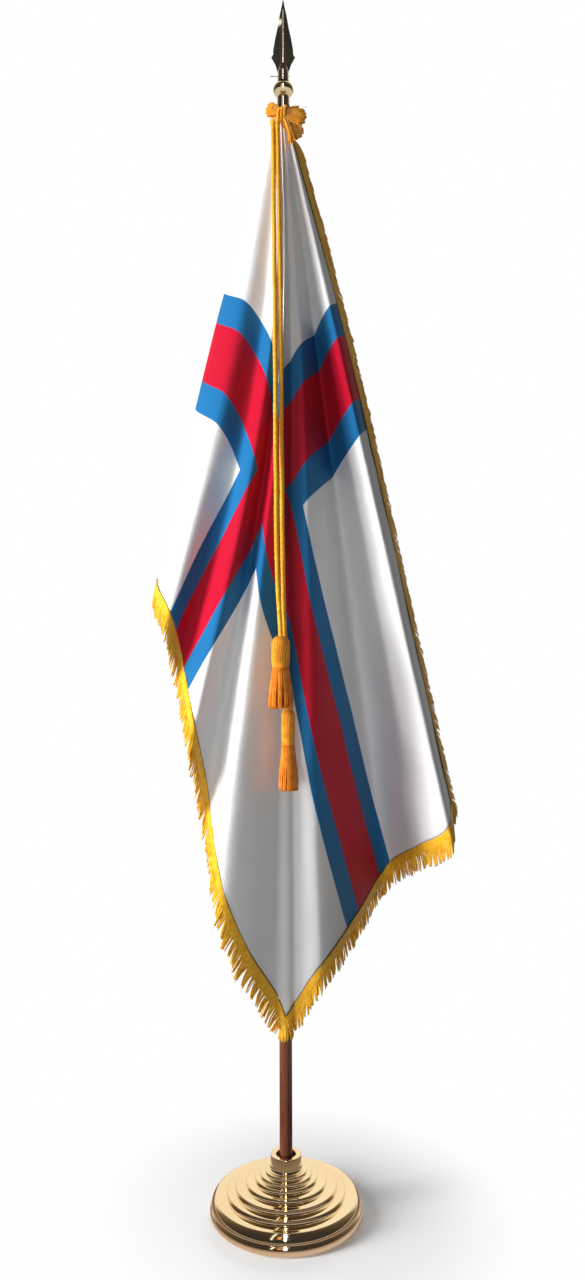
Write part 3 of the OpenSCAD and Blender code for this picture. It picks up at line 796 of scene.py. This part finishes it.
def base_profile():
    """The spun base from the floor edge up to the socket, as (radius, height) in millimetres: a rolled
    lip, a bevel, a flat ring, then steps with flat treads and crisp edges."""
    profile = arc(140, 12, 12, 12, -71, 48, 28) + [(147.2, 22.6), (147.2, 23.4)]
    profile += arc(121.6, 20.2, 28, 28, 8, 50, 24) + arc(138.6, 41.1, 0.9, 0.9, 50, 90, 4) + [(138.0, 42.0)]
    for r, z, top in zip(STEP_RADII, STEP_HEIGHTS, STEP_HEIGHTS[1:]):
        profile += [(r + 1.6, z), (r + 0.5, z + 0.15), (r, z + 0.7)]
        profile += arc(r - 1.9, top - 2.2, 1.9, 2.2, 5, 90, 8) + [(r - 2.6, top)]
    return profile + [(30.5, 91)]


def socket_profile():
    """The socket's collar, up its outside, over its mouth and down inside it."""
    return ([(36, 91)] + arc(36, 100, 5.5, 8, 268, 180, 14) + arc(27.9, 117.4, 2.6, 2.6, 0, 90, 10)
            + arc(21.9, 117.4, 2.6, 2.6, 90, 180, 10) + [(19.3, 60)])


BRASS = brass("polished_brass", (0.93, 0.77, 0.55), (0.88, 0.70, 0.46), 0.05, 0.06)
AGED = brass("antique_brass", (0.74, 0.66, 0.52), (0.56, 0.49, 0.37), 0.09, 0.12)
# The spear from its neck to its tip: height as a fraction, then half widths of the blade and of its rib
# as fractions of the blade's widest
SPEAR_OUTLINE = np.array([
    (0.0, 0.48, 0.48), (0.125, 0.48, 0.46), (0.14, 0.52, 0.42), (0.21, 0.67, 0.34), (0.295, 1.0, 0.28),
    (0.33, 0.84, 0.26), (0.385, 0.83, 0.235), (0.53, 0.66, 0.19), (0.66, 0.46, 0.16), (0.82, 0.27, 0.125),
    (0.91, 0.13, 0.09), (1.0, 0.03, 0.03),
])
SPEAR_ROWS, RIB_POINTS, WING_POINTS = 90, 65, 8


def make_spear():
    """The spear above the ball: a round neck that runs up as a narrowing rib between two thin wings."""
    low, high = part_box("finial_spear")
    tall, wide = high.z - low.z, (high.x - low.x) / 2
    share, blade_share, rib_share = SPEAR_OUTLINE.T
    heights = np.unique(np.concatenate([share, np.linspace(0, 1, SPEAR_ROWS)]))
    verts = []
    for h in heights:
        half = wide * np.interp(h, share, blade_share)
        rib = min(half, wide * np.interp(h, share, rib_share))
        edges = np.concatenate([
            np.linspace(-1, -rib / half, WING_POINTS)[:-1] * half,
            -rib * np.cos(np.linspace(0, math.pi, RIB_POINTS)),
            np.linspace(rib / half, 1, WING_POINTS)[1:] * half,
        ])
        wing = 0.4 * MM + 1.6 * MM * (1 - np.abs(edges) / half)
        round_rib = np.sqrt(np.maximum(0, rib ** 2 - edges ** 2)) * (1 - 0.25 * h)
        depth = np.maximum(wing * (h > 0.1), round_rib)
        front = [(x, -d, low.z + h * tall) for x, d in zip(edges, depth)]
        verts += front + [(x, d, z) for (x, _, z), d in zip(reversed(front), reversed(depth))]
    faces = grid_faces(len(heights), len(verts) // len(heights), True)
    spear = add_mesh("spear_blade", verts, faces, "finial", smooth=False)
    spear.data.materials.append(DARK_BRASS)
    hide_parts("finial_spear")


DARK_BRASS = brass("spear_brass", (0.72, 0.68, 0.60), (0.50, 0.47, 0.42), 0.05, 0.05)


def finish_nodes():
    """Give each CAD node that stays visible the look of its material slot."""
    looks = {
        "polished_brass": BRASS, "antique_brass": AGED, "ballast_iron": iron(), "zinc_steel": steel(),
        "felt": felt(), "reducer_plastic": plastic(), "stained_wood": wood(), "tab_leather": leather(),
        "sleeve_canvas": canvas(),
    }
    slots = {p["node"]: p["material_slot"] for p in frame["record"]["subparts"]}
    for name, node in frame["nodes"].items():
        look = looks.get(slots[name])
        if look:
            node.data.materials.clear()
            node.data.materials.append(look)


def turned(name, profile, node, body, material):
    piece = lathe(name, [(r * MM, z * MM) for r, z in profile], body, TURNED_SEGMENTS)
    piece.data.materials.append(material)
    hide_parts(node)
    return piece


finish_nodes()
turned("base_dome", base_profile(), "base_shell", "stand", BRASS)
turned("socket_collar", socket_profile(), "pole_socket", "stand", BRASS)
make_spear()


# ---------------------------------------------------------------- light and floor

def area_light(name, at, toward, size, power, card=False, mirrored=True, color=(1, 1, 1)):
    """A soft rectangular light. A card lights only what is glossy, and a light that isn't mirrored
    stays out of glossy reflections."""
    data = bpy.data.lights.new(name, "AREA")
    data.shape = "RECTANGLE"
    data.size, data.size_y = size
    data.energy = power
    data.color = color
    light = bpy.data.objects.new(name, data)
    light.location = at
    light.rotation_euler = (Vector(toward) - Vector(at)).to_track_quat("-Z", "Y").to_euler()
    light.visible_camera = False
    light.visible_diffuse = not card
    light.visible_glossy = mirrored
    scene.collection.objects.link(light)


# What glossy surfaces mirror, by how far a direction turns from the room's dark front (0) to its
# bright back (1)
BRIGHT_BACK = Vector((0, 0.87, 0.5))
ROOM_BANDS = [
    (0.00, (0.035, 0.033, 0.036)), (0.45, (0.05, 0.042, 0.035)), (0.62, (0.10, 0.075, 0.045)),
    (0.76, (0.22, 0.17, 0.10)), (0.84, (1.00, 0.93, 0.76)), (1.00, (1.05, 0.97, 0.80)),
]


def make_world():
    """White to the camera, dim to cloth, and to gloss a bright room with a dark side to the front."""
    world = bpy.data.worlds.new("studio")
    scene.world = world
    world.use_nodes = True
    tree = world.node_tree
    tree.nodes.clear()

    def node(kind, **inputs):
        n = tree.nodes.new("ShaderNode" + kind)
        for key, value in inputs.items():
            socket = n.inputs[int(key[1:])]
            if isinstance(value, bpy.types.NodeSocket):
                tree.links.new(value, socket)
            else:
                socket.default_value = value
        return n

    direction = tree.nodes.new("ShaderNodeTexCoord").outputs["Generated"]
    facing = node("VectorMath", i0=direction, i1=BRIGHT_BACK)
    facing.operation = "DOT_PRODUCT"
    toward = node("MapRange", i0=facing.outputs["Value"], i1=-1.0, i2=1.0)
    bands = node("ValToRGB", i0=toward.outputs[0])
    stops = bands.color_ramp.elements
    while len(stops) < len(ROOM_BANDS):
        stops.new(1.0)
    for stop, (at, color) in zip(stops, ROOM_BANDS):
        stop.position = at
        stop.color = (*color, 1)
    rays = tree.nodes.new("ShaderNodeLightPath").outputs
    room = node("Background", i0=bands.outputs[0], i1=1.0).outputs[0]
    dim = node("Background", i0=(0.90, 0.94, 1.0, 1), i1=AMBIENT).outputs[0]
    white = node("Background", i0=(1, 1, 1, 1), i1=1.0).outputs[0]
    lit = node("MixShader", i0=rays["Is Glossy Ray"], i1=dim, i2=room).outputs[0]
    node("OutputWorld", i0=node("MixShader", i0=rays["Is Camera Ray"], i1=lit, i2=white).outputs[0])


def make_floor():
    """A pale floor that fades to white away from the stand. To glossy rays it glows in tinted rings round
    the stand, a painted reflection of a floor in a dim room, and to other unseen rays it glows dimly, as
    painted bounce light.
    """
    size, near, far = 30, 0.15, 0.5
    corners = [(-size, -size, 0), (size, -size, 0), (size, size, 0), (-size, size, 0)]
    floor = add_mesh("floor", corners, [(0, 1, 2, 3)], None)
    m = Nodes("floor_paint")
    tone = m.ramp(m.noise(0.6), [(0.3, (0.97, 0.97, 0.97)), (0.7, (0.99, 0.99, 0.99))])
    m.finish(Base_Color=tone, Roughness=0.9, Specular_IOR_Level=0.1)
    pale = m.shader.outputs[0]
    white = m.node("Emission", Color=(1, 1, 1, 1), Strength=1.0).outputs[0]
    rays = m.node("LightPath").outputs
    distance = m.node("VectorMath", {"operation": "LENGTH"}, i0=m.object_point()).outputs["Value"]
    spread = m.node("MapRange", {"interpolation_type": "SMOOTHSTEP"}, i0=distance, i1=near,
                    i2=far).outputs[0]
    # Painted reflection: the colours the floor glows with for glossy rays, pinkish near the stand,
    # darkening to deep brown further out, and pale far off.
    mirrored = m.ramp(m.math("MULTIPLY", distance, 0.5),
                      [(0.078, (0.66, 0.53, 0.46)), (0.11, (0.34, 0.24, 0.19)), (0.20, (0.08, 0.05, 0.04)),
                       (0.7, (0.85, 0.77, 0.60))])
    gloss = m.node("Emission", Color=mirrored, Strength=1.0).outputs[0]
    dim = m.node("Emission", Color=(1, 1, 1, 1), Strength=FLOOR_BOUNCE).outputs[0]
    unseen = m.node("MixShader", i0=rays["Is Glossy Ray"], i1=dim, i2=gloss).outputs[0]
    seen = m.node("MixShader", i0=spread, i1=pale, i2=white).outputs[0]
    final = m.node("MixShader", i0=rays["Is Camera Ray"], i1=unseen, i2=seen).outputs[0]
    m.tree.links.new(final, m.tree.nodes["Material Output"].inputs["Surface"])
    floor.data.materials.append(m.material)


# Strengths of the dim world and of the floor's glow, for rays that are neither the camera's nor glossy
AMBIENT = 0.12
FLOOR_BOUNCE = 0.14
WARM = (1.0, 0.95, 0.85)
AMBER = (1.0, 0.42, 0.10)
make_world()
make_floor()
area_light("key", (-3.0, -0.95, 1.8), (0, 0, 1.2), (0.9, 2.6), 138, mirrored=False)
area_light("low_key", (-2.7, -1.4, 0.7), (0, 0, 0.7), (0.9, 1.0), 30, mirrored=False)
area_light("low_front", (-0.7, -1.8, 0.3), (0, 0, 0.6), (0.5, 0.6), 8, mirrored=False)
area_light("front", (-1.2, -3.2, 1.0), (0, 0, 0.8), (0.5, 2.2), 6, mirrored=False)
area_light("back", (0.5, 2.8, 2.4), (0, 0, 1.2), (2.4, 1.6), 30, mirrored=False)
area_light("top", (-0.3, -0.3, 4.2), (0, 0, 0), (1.6, 1.6), 15, mirrored=False)
area_light("front_card", (-0.05, -3.0, 2.8), (0, 0, 1.0), (0.20, 3.8), 18, card=True, color=WARM)
area_light("left_card", (-1.0, -2.6, 2.8), (0, 0, 1.0), (0.16, 3.4), 3.0, card=True, color=WARM)
area_light("amber_card", (-0.5, -2.9, 2.2), (0, 0, 0.6), (0.3, 1.2), 1.1, card=True, color=AMBER)
scene.view_settings.view_transform = "Standard"
